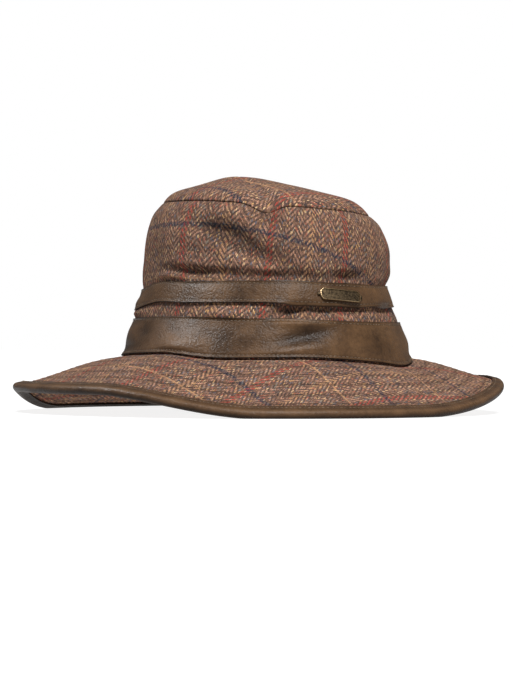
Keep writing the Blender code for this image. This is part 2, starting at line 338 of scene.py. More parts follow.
def makePiece(name, mesh, material, replaced=(), wall=0, rounding=0):
    data = bpy.data.meshes.new(name)
    mesh.to_mesh(data)
    mesh.free()
    data.shade_smooth()
    data.materials.append(material)
    piece = bpy.data.objects.new(name, data)
    scene.collection.objects.link(piece)
    if wall:
        thicken = piece.modifiers.new("wall", "SOLIDIFY")
        thicken.thickness = wall
        thicken.offset = -1
    if rounding:
        bevel = piece.modifiers.new("rounding", "BEVEL")
        bevel.width = rounding
        bevel.segments = edgeRounding["segments"]
        bevel.limit_method = "ANGLE"
        bevel.angle_limit = math.radians(edgeRounding["fromAngle"])
    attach(piece, "root")
    if replaced:
        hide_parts(*replaced)
    return piece


# The angles at which things stand evenly spaced along a closed line
def evenAngles(pointAt, spacing, samples=720):
    lengths = [0]
    for i in range(samples):
        lengths.append(lengths[-1] + (pointAt(360 * (i + 1) / samples) - pointAt(360 * i / samples)).length)
    count = round(lengths[-1] / spacing)
    angles, i = [], 0
    for step in range(count):
        wanted = lengths[-1] * step / count
        while lengths[i + 1] < wanted:
            i += 1
        part = (wanted - lengths[i]) / (lengths[i + 1] - lengths[i])
        angles.append(360 * (i + part) / samples)
    return angles


# An sRGB hex code as the linear colour that a shader takes
def srgb(code):
    values = [int(code[i:i + 2], 16) / 255 for i in (0, 2, 4)]
    linear = [value / 12.92 if value < 0.04045 else ((value + 0.055) / 1.055) ** 2.4 for value in values]
    return linear + [1]


# Adds a node: inputs maps a socket's name or number to a value, a node or a socket
def addNode(tree, kind, inputs=None, **settings):
    node = tree.nodes.new("ShaderNode" + kind)
    for key, value in settings.items():
        setattr(node, key, value)
    for slot, value in (inputs or {}).items():
        if isinstance(value, bpy.types.Node):
            value = value.outputs[0]
        if isinstance(value, bpy.types.NodeSocket):
            tree.links.new(value, node.inputs[slot])
        else:
            node.inputs[slot].default_value = value
    return node


def fillRamp(ramp, stops):
    elements = ramp.color_ramp.elements
    while len(elements) < len(stops):
        elements.new(0.5)
    for element, (place, code) in zip(elements, stops):
        element.position = place
        element.color = srgb(code)


def newMaterial(name):
    material = bpy.data.materials.new(name)
    material.use_nodes = True
    tree = material.node_tree
    return material, tree, tree.nodes["Principled BSDF"]


tweed = {
    # The yarns of such a tweed lie about 0.6 mm apart. They are drawn a little coarser, so that they show.
    "yarn": 0.76,  # mm from one warp yarn to the next
    "yarnsInRow": 8,  # yarns before the twill turns back, which makes the herringbone
    "float": 3.7,  # mm after which a yarn comes to the face again
    "step": 0.25,  # of a float, from one yarn to the next
    "shown": 0.62,  # of each float that lies on the face
    "weft": 0.92,  # mm from one weft yarn to the next
    "fleck": 1.5,  # mm of yarn that one fleck takes up
    "flecked": 0.3,  # of the warp that is flecks
    "wander": 1.5,  # mm that the yarns stray from straight
    "strays": 0.16,  # times to the millimetre
    "fibres": 2.2,  # to the millimetre
    "patches": 0.035,
    "checkYarns": 73,  # from one red line to the next
    "redYarns": (0, 1, 3, 4),
    "camelYarns": (36, 37, 39, 40),
    "lineMiddle": 1.9,  # mm from the first red yarn's edge to the middle of the line
    "checkRise": 68.0,  # mm from one navy line to the next, in which the lines across lie
    "navyAt": 36.0,
    "camelAt": 10.0,
    "navyHalf": 1.4,  # half a line's height in mm
    "camelHalf": 0.65,
    "relief": 0.3,  # mm, and the weft's and the fibres' shares of it
    "weftRelief": 0.45,
    "fibreRelief": 0.5,
    "covers": 0.6,  # how high a warp yarn stands where it hides the weft
    "redShows": 0.85,
    "camelYarnShows": 0.7,
    "navyShows": 0.85,
    "navyOnWarp": 0.5,
    "camelShows": 0.6,
    "camelOnWarp": 0.4,
    "broken": 0.15,  # of each line, where a yarn covers it
    "checkShows": 0.9,
    # How strongly painted shade darkens the cloth in the seam's groove, its hollows and the quilting's rows
    "seamShade": 0.35,
    "fibreTone": (0.7, 0.65),  # how far the tone swings, and from where
    "patchTone": (0.5, 0.75),
    # The tone is painted light: this copy, the brim's top, is painted a little lighter than the side
    "tone": 1.04,
    "seed": 3,
    "warpColors": [
        (0.00, "deba8d"), (0.05, "c4957a"), (0.18, "97725f"), (0.38, "7a5a4a"), (0.52, "a67e6a"),
        (0.64, "ad6450"), (0.70, "8c8375"), (0.77, "56443f"), (0.88, "c89b68"), (0.93, "686973"),
    ],
    "weftColors": [
        (0.00, "694e41"), (0.28, "534139"), (0.48, "7e604b"), (0.66, "654f47"), (0.84, "473e3b"),
    ],
    "red": "b5352d",
    "camel": "d2a072",
    "navy": "27303f",
    "halo": "c8a890",
    "roughness": 0.94,
    "shine": 0.12,
    "sheen": 0.05,
}


# Herringbone tweed, woven from carded wool: matt, with a faint halo of fibres, and each yarn a mix of dyes.
# Painted shade and a little painted light are mixed into its colour.
def makeTweed(name, look):
    material, tree, shader = newMaterial(name)
    uv = addNode(tree, "UVMap", uv_map="weave")
    stray = {"Vector": uv, "Scale": look["strays"], "Detail": 5.0, "Roughness": 0.7}
    stray = addNode(tree, "TexNoise", stray)
    stray = addNode(tree, "VectorMath", {0: stray.outputs["Color"], 1: (0.5, 0.5, 0.5)}, operation="SUBTRACT")
    wander = (look["wander"], look["wander"], 0)
    place = addNode(tree, "VectorMath", {0: stray, 1: wander, 2: uv}, operation="MULTIPLY_ADD")
    axes = addNode(tree, "SeparateXYZ", {0: place})
    u, v = axes.outputs[0], axes.outputs[1]
    yarnPlace = addNode(tree, "Math", {0: u, 1: look["yarn"]}, operation="DIVIDE")
    yarn = addNode(tree, "Math", {0: yarnPlace}, operation="FLOOR")
    inYarn = addNode(tree, "Math", {0: yarnPlace}, operation="FRACT")
    zigzag = addNode(tree, "Math", {0: yarn, 1: look["yarnsInRow"]}, operation="PINGPONG")
    floatPlace = addNode(tree, "Math", {0: v, 1: look["float"]}, operation="DIVIDE")
    floatPlace = {0: zigzag, 1: look["step"], 2: floatPlace}
    floatPlace = addNode(tree, "Math", floatPlace, operation="MULTIPLY_ADD")
    floatCount = addNode(tree, "Math", {0: floatPlace}, operation="FLOOR")
    inFloat = addNode(tree, "Math", {0: floatPlace}, operation="FRACT")
    # The yarn's round back, and its rise to the face and dive below it
    across = addNode(tree, "Math", {0: inYarn, 1: math.pi}, operation="MULTIPLY")
    across = addNode(tree, "Math", {0: across}, operation="SINE")
    along = addNode(tree, "Math", {0: inFloat, 1: math.pi / look["shown"]}, operation="MULTIPLY")
    along = addNode(tree, "Math", {0: along}, operation="SINE")
    onFace = addNode(tree, "Math", {0: inFloat, 1: look["shown"]}, operation="LESS_THAN")
    along = addNode(tree, "Math", {0: along, 1: onFace}, operation="MULTIPLY")
    warpRise = addNode(tree, "Math", {0: across, 1: along}, operation="MULTIPLY")
    warpShows = {0: warpRise, 1: 0.0, 2: look["covers"]}
    warpShows = addNode(tree, "MapRange", warpShows, interpolation_type="SMOOTHSTEP")
    weftPlace = addNode(tree, "Math", {0: v, 1: look["weft"]}, operation="DIVIDE")
    weftCount = addNode(tree, "Math", {0: weftPlace}, operation="FLOOR")
    inWeft = addNode(tree, "Math", {0: weftPlace}, operation="FRACT")
    weftRise = addNode(tree, "Math", {0: inWeft, 1: math.pi}, operation="MULTIPLY")
    weftRise = addNode(tree, "Math", {0: weftRise}, operation="SINE")
    # Each float's own colour, and the flecks that cover some of it
    warpSpot = addNode(tree, "CombineXYZ", {0: yarn, 1: floatCount, 2: look["seed"]})
    warpPick = addNode(tree, "TexWhiteNoise", {"Vector": warpSpot})
    warpColor = addNode(tree, "ValToRGB", {0: warpPick.outputs["Value"]})
    warpColor.color_ramp.interpolation = "CONSTANT"
    fillRamp(warpColor, look["warpColors"])
    fleckPlace = addNode(tree, "Math", {0: v, 1: look["fleck"]}, operation="DIVIDE")
    fleckCount = addNode(tree, "Math", {0: fleckPlace}, operation="FLOOR")
    fleckSpot = addNode(tree, "CombineXYZ", {0: yarn, 1: fleckCount, 2: look["seed"] + 13})
    fleckPick = addNode(tree, "TexWhiteNoise", {"Vector": fleckSpot})
    isFleck = {0: fleckPick.outputs["Value"], 1: look["flecked"]}
    isFleck = addNode(tree, "Math", isFleck, operation="LESS_THAN")
    fleckColor = addNode(tree, "MapRange", {0: fleckPick.outputs["Value"], 1: 0.0, 2: look["flecked"]})
    fleckColor = addNode(tree, "ValToRGB", {0: fleckColor})
    fleckColor.color_ramp.interpolation = "CONSTANT"
    fillRamp(fleckColor, look["warpColors"])
    warpColor = addNode(tree, "MixRGB", {0: isFleck, 1: warpColor, 2: fleckColor})
    weftSpot = addNode(tree, "CombineXYZ", {0: yarn, 1: weftCount, 2: look["seed"] + 7})
    weftPick = addNode(tree, "TexWhiteNoise", {"Vector": weftSpot})
    weftColor = addNode(tree, "ValToRGB", {0: weftPick.outputs["Value"]})
    weftColor.color_ramp.interpolation = "CONSTANT"
    fillRamp(weftColor, look["weftColors"])
    # The overcheck: red and camel yarns in the warp, navy and camel in the weft
    inCheck = addNode(tree, "Math", {0: yarn, 1: look["checkYarns"]}, operation="FLOORED_MODULO")
    warp = warpColor
    for code, yarns, shows in (
        (look["red"], look["redYarns"], look["redShows"]),
        (look["camel"], look["camelYarns"], look["camelYarnShows"]),
    ):
        for number in yarns:
            here = addNode(tree, "Math", {0: inCheck, 1: number, 2: 0.4}, operation="COMPARE")
            here = addNode(tree, "Math", {0: here, 1: shows * look["checkShows"]}, operation="MULTIPLY")
            warp = addNode(tree, "MixRGB", {0: here, 1: warp, 2: srgb(code)})
    weft = weftColor
    rise = addNode(tree, "Math", {0: v, 1: look["checkRise"]}, operation="FLOORED_MODULO")
    unbroken = {0: weftPick.outputs["Value"], 1: look["broken"]}
    unbroken = addNode(tree, "Math", unbroken, operation="GREATER_THAN")
    camelOnWarp = look["camelShows"] * look["camelOnWarp"]
    for code, middle, half, shows, faintly in (
        (look["navy"], look["navyAt"], look["navyHalf"], look["navyShows"], look["navyOnWarp"]),
        (look["camel"], look["camelAt"], look["camelHalf"], look["camelShows"], camelOnWarp),
    ):
        here = addNode(tree, "Math", {0: rise, 1: middle, 2: half}, operation="COMPARE")
        here = addNode(tree, "Math", {0: here, 1: unbroken}, operation="MULTIPLY")
        strong = addNode(tree, "Math", {0: here, 1: shows * look["checkShows"]}, operation="MULTIPLY")
        weft = addNode(tree, "MixRGB", {0: strong, 1: weft, 2: srgb(code)})
        faint = addNode(tree, "Math", {0: here, 1: faintly * look["checkShows"]}, operation="MULTIPLY")
        warp = addNode(tree, "MixRGB", {0: faint, 1: warp, 2: srgb(code)})
    color = addNode(tree, "MixRGB", {0: warpShows, 1: weft, 2: warp})
    # The mottle of the fibres within the yarns, and broad patches of the cloth
    fibres = addNode(tree, "TexNoise", {"Vector": uv, "Scale": look["fibres"], "Detail": 2.0})
    broad = addNode(tree, "TexNoise", {"Vector": uv, "Scale": look["patches"], "Detail": 3.0})
    (fibreSwing, fibreFrom), (patchSwing, patchFrom) = look["fibreTone"], look["patchTone"]
    tone = {0: fibres.outputs["Fac"], 1: fibreSwing, 2: fibreFrom}
    tone = addNode(tree, "Math", tone, operation="MULTIPLY_ADD")
    broadTone = {0: broad.outputs["Fac"], 1: patchSwing, 2: patchFrom}
    broadTone = addNode(tree, "Math", broadTone, operation="MULTIPLY_ADD")
    tone = addNode(tree, "Math", {0: tone, 1: broadTone}, operation="MULTIPLY")
    # Painted shade: the cloth is darkened in its seam's groove, in its hollows and along the quilting's rows,
    # and painted a little lighter on its swells
    wearAndPaintedLight = addNode(tree, "Attribute", attribute_name="wearAndPaintedLight")
    seam = {0: wearAndPaintedLight.outputs["Fac"], 1: -look["seamShade"], 2: 1.0}
    seam = addNode(tree, "Math", seam, operation="MULTIPLY_ADD")
    tone = addNode(tree, "Math", {0: tone, 1: seam}, operation="MULTIPLY")
    tone = addNode(tree, "Math", {0: tone, 1: look["tone"]}, operation="MULTIPLY")
    color = addNode(tree, "VectorMath", {0: color, "Scale": tone}, operation="SCALE")
    tree.links.new(color.outputs[0], shader.inputs["Base Color"])
    height = addNode(tree, "Math", {0: weftRise, 1: look["weftRelief"]}, operation="MULTIPLY")
    height = addNode(tree, "Math", {0: warpRise, 1: height}, operation="MAXIMUM")
    height = {0: fibres.outputs["Fac"], 1: look["fibreRelief"], 2: height}
    height = addNode(tree, "Math", height, operation="MULTIPLY_ADD")
    relief = look["relief"] * millimetre
    bump = addNode(tree, "Bump", {"Strength": 0.6, "Distance": relief, "Height": height})
    tree.links.new(bump.outputs[0], shader.inputs["Normal"])
    shader.inputs["Roughness"].default_value = look["roughness"]
    shader.inputs["Specular IOR Level"].default_value = look["shine"]
    shader.inputs["Sheen Weight"].default_value = look["sheen"]
    shader.inputs["Sheen Roughness"].default_value = 0.5
    shader.inputs["Sheen Tint"].default_value = srgb(look["halo"])
    return material


leather = {
    "dark": "32241a",
    "middle": "513a26",
    "light": "6b4f35",
    # The rubbed colour, also used to paint highlights
    "wornAndHighlight": "8f6e50",
    # The burnished cut edges' colour, also used to paint shade in creases, along stitches and under the
    # binding
    "edge": "20160f",
    "clouds": 0.06,  # to the millimetre, as the next three are
    "specks": 0.45,
    "creases": 0.5,
    "grain": 1.0,  # the real pebbles are about 0.6 mm wide, and drawn coarser so that they show
    "creased": 1.6,  # how deep the creases are against the grain
    "relief": 0.28,  # mm
    "shine": 0.16,
    "smoothest": 0.30,
    "roughest": 0.44,
}


# Waxed, vegetable tanned leather: a soft broken sheen, a fine pebble grain, paler where it bends and rubs.
# Its
# colour also carries painted light: painted highlights on the binding's roll and on the bands' lit end, and
# painted shade in the bands' creases, along the stitches and under the binding.
def makeLeather(name, look):
    material, tree, shader = newMaterial(name)
    uv = addNode(tree, "UVMap", uv_map="weave")
    clouds = {"Vector": uv, "Scale": look["clouds"], "Detail": 4.0, "Roughness": 0.6}
    clouds = addNode(tree, "TexNoise", clouds)
    specks = {"Vector": uv, "Scale": look["specks"], "Detail": 4.0, "Roughness": 0.7}
    specks = addNode(tree, "TexNoise", specks)
    mottle = addNode(tree, "Math", {0: specks.outputs["Fac"], 1: 0.4, 2: -0.2}, operation="MULTIPLY_ADD")
    mottle = addNode(tree, "Math", {0: clouds.outputs["Fac"], 1: mottle}, operation="ADD")
    color = addNode(tree, "ValToRGB", {0: mottle})
    fillRamp(color, [(0.24, look["dark"]), (0.76, look["light"]), (0.5, look["middle"])])
    wearAndPaintedLight = addNode(tree, "Attribute", attribute_name="wearAndPaintedLight")
    # Paler where rubbed, and where a highlight is painted
    rubbed = {0: wearAndPaintedLight.outputs["Fac"], 1: specks.outputs["Fac"]}
    rubbed = addNode(tree, "Math", rubbed, operation="MULTIPLY", use_clamp=True)
    color = addNode(tree, "MixRGB", {0: rubbed, 1: color, 2: srgb(look["wornAndHighlight"])})
    # Darker at the burnished cut edges, and where shade is painted
    burnishedAndShaded = addNode(tree, "Math", {0: wearAndPaintedLight.outputs["Fac"], 1: -1.0}, operation="MULTIPLY", use_clamp=True)
    color = addNode(tree, "MixRGB", {0: burnishedAndShaded, 1: color, 2: srgb(look["edge"])})
    tree.links.new(color.outputs[0], shader.inputs["Base Color"])
    grain = addNode(tree, "TexVoronoi", {"Vector": uv, "Scale": look["grain"]}, feature="SMOOTH_F1")
    creases = {"Vector": uv, "Scale": look["creases"], "Detail": 5.0, "Roughness": 0.65}
    creases = addNode(tree, "TexNoise", creases)
    height = {0: creases.outputs["Fac"], 1: look["creased"], 2: grain.outputs["Distance"]}
    height = addNode(tree, "Math", height, operation="MULTIPLY_ADD")
    relief = look["relief"] * millimetre
    bump = addNode(tree, "Bump", {"Strength": 0.7, "Distance": relief, "Height": height})
    tree.links.new(bump.outputs[0], shader.inputs["Normal"])
    gloss = {0: mottle, 1: 0.3, 2: 0.7, 3: look["smoothest"], 4: look["roughest"]}
    gloss = addNode(tree, "MapRange", gloss)
    tree.links.new(gloss.outputs[0], shader.inputs["Roughness"])
    shader.inputs["Specular IOR Level"].default_value = look["shine"]
    return material


# The twist is drawn coarser than the real one, of about 0.4 mm, so that it shows
linen = {"twist": 900.0, "relief": 0.1, "dark": "493a2e", "light": "8f7b65", "roughness": 0.65}


# Waxed linen thread, twisted from strands: a soft sheen, a shade greyer than the leather
def makeThread(name, look):
    material, tree, shader = newMaterial(name)
    place = addNode(tree, "TexCoord")
    twist = {"Vector": place.outputs["Object"], "Scale": look["twist"], "Detail": 2.0}
    twist = addNode(tree, "TexNoise", twist)
    color = addNode(tree, "ValToRGB", {0: twist.outputs["Fac"]})
    fillRamp(color, [(0.35, look["dark"]), (0.65, look["light"])])
    tree.links.new(color.outputs[0], shader.inputs["Base Color"])
    relief = look["relief"] * millimetre
    bump = addNode(tree, "Bump", {"Strength": 0.5, "Distance": relief, "Height": twist.outputs["Fac"]})
    tree.links.new(bump.outputs[0], shader.inputs["Normal"])
    shader.inputs["Roughness"].default_value = look["roughness"]
    return material


# The grit of the casting is drawn coarser than the real one, of about 0.2 mm, so that it shows
castBrass = {
    "grit": 900.0,
    "relief": 0.12,
    # The stained hollows' colour, which also paints shade on the badge's sides
    "hollow": "2e2720",
    "face": "6a5742",
    "rubbed": "bda27c",
    "dullest": 0.62,
    "brightest": 0.28,
}


# Antique brass, cast and stained: darkened in its hollows, rubbed bright on its rim, and painted dark on its
# sides as painted shade
def makeBrass(name, look):
    material, tree, shader = newMaterial(name)
    place = addNode(tree, "TexCoord")
    wearAndPaintedLight = addNode(tree, "Attribute", attribute_name="wearAndPaintedLight")
    spots = {"Vector": place.outputs["Object"], "Scale": look["grit"], "Detail": 4.0}
    spots = addNode(tree, "TexNoise", spots)
    mottle = addNode(tree, "Math", {0: spots.outputs["Fac"], 1: 0.9, 2: -0.45}, operation="MULTIPLY_ADD")
    mottle = addNode(tree, "Math", {0: wearAndPaintedLight.outputs["Fac"], 1: mottle}, operation="ADD")
    color = addNode(tree, "ValToRGB", {0: mottle})
    fillRamp(color, [(0.1, look["hollow"]), (0.95, look["rubbed"]), (0.55, look["face"])])
    tree.links.new(color.outputs[0], shader.inputs["Base Color"])
    gloss = addNode(tree, "MapRange", {0: mottle, 1: 0.0, 2: 1.0, 3: look["dullest"], 4: look["brightest"]})
    tree.links.new(gloss.outputs[0], shader.inputs["Roughness"])
    relief = look["relief"] * millimetre
    bump = addNode(tree, "Bump", {"Strength": 0.5, "Distance": relief, "Height": spots.outputs["Fac"]})
    tree.links.new(bump.outputs[0], shader.inputs["Normal"])
    shader.inputs["Metallic"].default_value = 1.0
    return material


# The one tweed is made in copies whose tones are painted light: the side painted darker, the brim's top a
# little lighter, and the brim's underside much lighter, to stand in for the light that does not reach it
sideLook = {
    **tweed,
    "seed": 1,
    "tone": 0.94,
    "checkRise": 61.0,
    "navyAt": 16.0,
    "camelAt": 43.5,
    "camelShows": 0.3,
    "seamShade": 0.7,
}
tipLook = {**tweed, "seed": 2, "tone": 1.0, "navyAt": 10.0, "camelAt": 35.5, "seamShade": 0.6}
underPaintedLightLook = {**tweed, "seed": 4, "tone": 1.8, "checkShows": 0.7}
sideTweed = makeTweed("wool_tweed_side", sideLook)
tipTweed = makeTweed("wool_tweed_tip", tipLook)
brimTweed = makeTweed("wool_tweed_brim", tweed)
underPaintedLightTweed = makeTweed("wool_tweed_under_painted_light", underPaintedLightLook)
bandLeather = makeLeather("waxed_leather_band", leather)
bindingLeather = makeLeather("waxed_leather_binding", {**leather, "middle": "4b3624", "light": "644a34"})
thread = makeThread("waxed_linen_thread", linen)
brass = makeBrass("antique_brass", castBrass)
print("materials made")


def softness(point, fade):
    return crown["softness"] * fade * noise.noise(point / crown["softnessSize"])


# The cloth turns in at the seam over its last stretch, from 0 to the seam's depth
def seamFall(distance):
    x = max(1 - distance / crown["seamReach"], 0)
    return crown["seamDepth"] * (1 - math.sqrt(max(1 - x * x, 0)))


side = {
    "columns": 384,
    "rows": 76,
    "seamAngle": -95,
    "coneRadius": 330.0,
    "coneMiddle": -18.0,
    "coneHeight": 109.0,
    "coneRise": 6,
    "lean": 0.00163,
    "closerRows": 0.6,  # how much closer together the rows of points lie towards the seam
    "softFrom": (0.4, 0.5),
    "softTo": (0.9, 0.99),
    "hollowShade": 0.5,
    "deepestShade": 0.7,
    "swellLight": 0.25,
}
# Where the side's cloth lies: an angle, and the millimetres across the cloth from the wearer's right
acrossAt = smoothCurve([
    (-95, 253), (-35.4, 165), (4.9, 110), (43.2, 55), (85.5, 0), (127.8, -60), (180, -128), (223, -185),
    (265, -246),
])


def rowShare(up):
    return up * (1 + side["closerRows"] - side["closerRows"] * up)


def sidePlace(across, up):
    angle, share = side["seamAngle"] + 360 * across, rowShare(up)
    point = sidePoint(angle, share)
    square = squareTo(sidePoint, angle, share)
    fade = easeBetween(*side["softFrom"], share) * (1 - easeBetween(*side["softTo"], share))
    fall = seamFall((1 - share) * crown["height"])
    if fall:
        return point - seamSquare(angle) * fall
    return point + square * softness(point, fade)


# The side was cut as part of a cone, so its weave turns as it goes round
def sideWeave(across, up):
    angle = side["seamAngle"] + 360 * across
    place = acrossAt(angle)
    above = sidePoint(angle, rowShare(up)).z / millimetre - side["coneHeight"]
    turned = (place - side["coneMiddle"]) / side["coneRadius"]
    radius = side["coneRadius"] - above
    leaned = place - above * math.sin(side["lean"] * place)
    return leaned + tweed["lineMiddle"], side["coneRadius"] - radius * math.cos(turned) + side["coneRise"]


# Painted shade and light on the side's cloth: darker in the folds' hollows and in the seam's groove, and a
# little lighter on the swells
def sideShadeAndLight(across, up):
    share = rowShare(up)
    hollow = foldedIn(side["seamAngle"] + 360 * across, share)
    shade = side["swellLight"] * hollow
    if hollow > 0:
        shade = min(side["hollowShade"] * hollow, side["deepestShade"])
    return min(shade + seamFall((1 - share) * crown["height"]) / crown["seamDepth"], 1)


hatMiddle = Vector((0, -crown["forward"], crown["middleHeight"]))
mesh = laySheet(side["columns"], side["rows"], sidePlace, sideWeave, sideShadeAndLight)
faceTowards(mesh, lambda point: point - hatMiddle)
makePiece("crown_side_cloth", mesh, sideTweed, ["crown_side"], wall=crown["wall"])
print("crown side made")

tip = {
    "cells": 124,
    "closerRings": 0.3,
    "grain": math.radians(5),
    "redAt": -69.6,
    "camelAt": -21.0,
    "softFrom": (0.002, 0.015),
}


# The square grid's points go to a disc, so that no seam or pole is left. Gives the angle and share there.
def discPlace(across, up):
    x, y = 2 * across - 1, 2 * up - 1
    x, y = x * math.sqrt(1 - y * y / 2), y * math.sqrt(1 - x * x / 2)
    radius = min(math.hypot(x, y), 1)
    radius *= 1 + tip["closerRings"] - tip["closerRings"] * radius
    return math.degrees(math.atan2(-x, -y)), 1 - radius


def tipPlace(across, up):
    angle, share = discPlace(across, up)
    point = tipPoint(angle, share)
    distance = (point - tipPoint(angle, 0)).length
    fall = seamFall(distance)
    if fall:
        return point - seamSquare(angle) * fall
    return point + Vector((0, 0, softness(point, easeBetween(*tip["softFrom"], distance))))


def tipWeave(across, up):
    point = tipPoint(*discPlace(across, up)) / millimetre
    s, c = math.sin(tip["grain"]), math.cos(tip["grain"])
    u, v = point.x * s + point.y * c - tip["redAt"], point.x * c - point.y * s - tip["camelAt"]
    return u + tweed["lineMiddle"], v + tipLook["camelAt"]


# Painted shade in the groove of the seam round the top
def tipSeamShade(across, up):
    angle, share = discPlace(across, up)
    return seamFall((tipPoint(angle, share) - tipPoint(angle, 0)).length) / crown["seamDepth"]


mesh = laySheet(tip["cells"], tip["cells"], tipPlace, tipWeave, tipSeamShade)
faceTowards(mesh, lambda point: Vector((0, 0, 1)))
makePiece("crown_tip_cloth", mesh, tipTweed, ["crown_tip"], wall=crown["wall"])
print("crown top made")

brimSheet = {"columns": 336, "rows": 72, "camelAt": -113.0}
# Where the brim's cloth lies: millimetres back from the hat's middle, and millimetres across the cloth
brimAcrossAt = smoothCurve([(-190, 158), (-149, 110), (-104, 55), (-43, 0), (60, -97), (190, -220)])


# Rows of quilting run round the brim: 1 on a row, falling to 0 between them
def quilting(angle, share):
    width = (brimMiddle(angle, 1) - brimMiddle(angle, 0)).length
    place = width * (1 - share) / brim["quiltSpacing"]
    distance = abs(place - round(place)) * brim["quiltSpacing"]
    return bell(distance, brim["quiltReach"]) if 1 <= round(place) else 0


# Where the outer face of a ply lies, by how far it is from the middle of the brim
def brimPlace(offset):
    def placeAt(across, up):
        angle = backAngle + 360 * across
        square = -squareTo(brimMiddle, angle, up)
        sunk = brim["quiltDepth"] * (quilting(angle, up) - brim["quiltSwell"])
        return brimMiddle(angle, up) + square * (offset - math.copysign(sunk, offset))

    return placeAt


def brimWeave(across, up):
    point = brimMiddle(backAngle + 360 * across, up) / millimetre
    return brimAcrossAt(point.y) + tweed["lineMiddle"], point.x - brimSheet["camelAt"] + tweed["camelAt"]


# Painted shade along the quilting's sunk rows, on both faces of the brim
def brimQuiltShade(across, up):
    return quilting(backAngle + 360 * across, up)


mesh = laySheet(brimSheet["columns"], brimSheet["rows"], brimPlace(plyStack / 2), brimWeave, brimQuiltShade)
faceTowards(mesh, lambda point: Vector((0, 0, 1)))
makePiece("brim_upper_cloth", mesh, brimTweed, ["brim_upper"], wall=brim["ply"])
mesh = laySheet(brimSheet["columns"], brimSheet["rows"], brimPlace(-plyStack / 2), brimWeave, brimQuiltShade)
faceTowards(mesh, lambda point: Vector((0, 0, -1)))
makePiece("brim_under_cloth", mesh, underPaintedLightTweed, ["brim_under"], wall=brim["ply"])
print("brim made")

# The rows of stitches and the grooves that they draw in the leather
edgeStitch = {
    "inFrom": 0.0016,
    "groove": 0.00028,
    "grooveReach": 0.0006,
    "half": 0.0009,
    "thick": 0.00024,
    "spacing": 0.0027,
    "lift": 0.35,  # of its thickness, by which a stitch stands out of the leather
    "angleStep": 0.3,
}
binding = {
    "width": 0.008,
    "length": 1010,  # mm of leather
    "columns": 440,
    "rows": 40,
    "stitchIn": 0.0019,
    "groove": 0.00022,
    "pucker": 0.00008,
    "puckers": 330,
    "puckerReach": 0.003,
    "rounding": 0.00035,
    # A paler strip along the roll, rubbed and a painted highlight: how pale, how far in, and how wide
    "rubbed": 0.45,
    "rubbedAndLitAt": 0.0064,
    "highlightReach": 0.0015,
    "cutEdge": 0.3,
    "cutReach": 0.0003,
    "shadeBeneath": 0.8,  # how dark the face turned to the table is painted, as painted shade
    "shadeBeneathFrom": (0.41, 0.55),
}


# A point of the binding and the way out of it. The distance runs along its section, from its upper edge round
# the roll to its lower edge.
def bindingFrame(angle, distance, inside=0.97):
    middle = brimMiddle(angle, 1)
    up = -squareTo(brimMiddle, angle, 1)
    out = (middle - brimMiddle(angle, inside)).normalized()
    tail, roll = binding["width"] - rollOutside, math.pi * rollOutside
    if distance < tail:
        return middle - out * (tail - distance) + up * rollOutside, up
    if distance > tail + roll:
        return middle - out * (distance - tail - roll) - up * rollOutside, -up
    turn = math.pi * (0.5 - (distance - tail) / roll)
    spoke = out * math.cos(turn) + up * math.sin(turn)
    return middle + spoke * rollOutside, spoke


bindingLength = 2 * (binding["width"] - rollOutside) + math.pi * rollOutside


def bindingPoint(angle, distance):
    point, square = bindingFrame(angle, distance)
    inFrom = min(distance, bindingLength - distance)
    groove = bell(inFrom - binding["stitchIn"], edgeStitch["grooveReach"])
    pucker = math.sin(math.radians(angle) * binding["puckers"]) * bell(inFrom, binding["puckerReach"])
    point += square * (binding["pucker"] * pucker - binding["groove"] * groove)
    point.z = max(point.z, 0)
    return point


def bindingPlace(across, up):
    return bindingPoint(backAngle + 360 * across, bindingLength * up)


def bindingWeave(across, up):
    return binding["length"] * across, bindingLength * up / millimetre


def bindingWearAndLight(across, up):
    # Paler along the roll, rubbed and a painted highlight; dark at the burnished cut edges; and painted shade
    # on the face turned to the table
    inFrom = bindingLength * min(up, 1 - up)
    rubbed = binding["rubbed"] * bell(inFrom - binding["rubbedAndLitAt"], binding["highlightReach"])
    cut = binding["cutEdge"] * bell(inFrom, binding["cutReach"])
    return rubbed - cut - binding["shadeBeneath"] * easeBetween(*binding["shadeBeneathFrom"], up)


def outOfBinding(point):
    angle = math.degrees(math.atan2(-point.x / brim["halfWidth"], -point.y / brim["halfLength"]))
    return point - brimMiddle(angle, 1)


mesh = laySheet(binding["columns"], binding["rows"], bindingPlace, bindingWeave, bindingWearAndLight)
faceTowards(mesh, outOfBinding)
makePiece(
    "brim_binding_leather",
    mesh,
    bindingLeather,
    ["brim_binding"],
    wall=leatherWall,
    rounding=binding["rounding"],
)
print("binding made")

# Creases and swells of the bands: angle, share of the height, half turn, half height, slant, rise in mm
wideBandFolds = [
    (30, 0.90, 10, 0.09, -0.02, 1.5), (27, 0.58, 12, 0.19, -0.17, -2.0), (31, 0.20, 14, 0.12, -0.10, 0.9),
    (80, 0.20, 9, 0.22, -0.05, 1.9), (122, 0.20, 15, 0.15, 0.0, -1.2), (122, 0.66, 15, 0.20, 0.0, 0.6),
    (-52, 0.20, 15, 0.15, 0.0, -1.2), (-52, 0.64, 15, 0.20, 0.0, 0.6), (104, 0.60, 6, 0.18, 0.0, -1.1),
    (66, 0.55, 9, 0.20, 0.10, -0.5), (-8, 0.45, 10, 0.22, 0.1, -0.5), (150, 0.4, 14, 0.2, -0.15, 1.1),
    (190, 0.6, 16, 0.2, 0.12, 1.0), (232, 0.35, 14, 0.2, -0.1, 1.1), (272, 0.6, 15, 0.2, 0.1, 1.0),
    (310, 0.4, 12, 0.22, -0.12, 1.0),
]
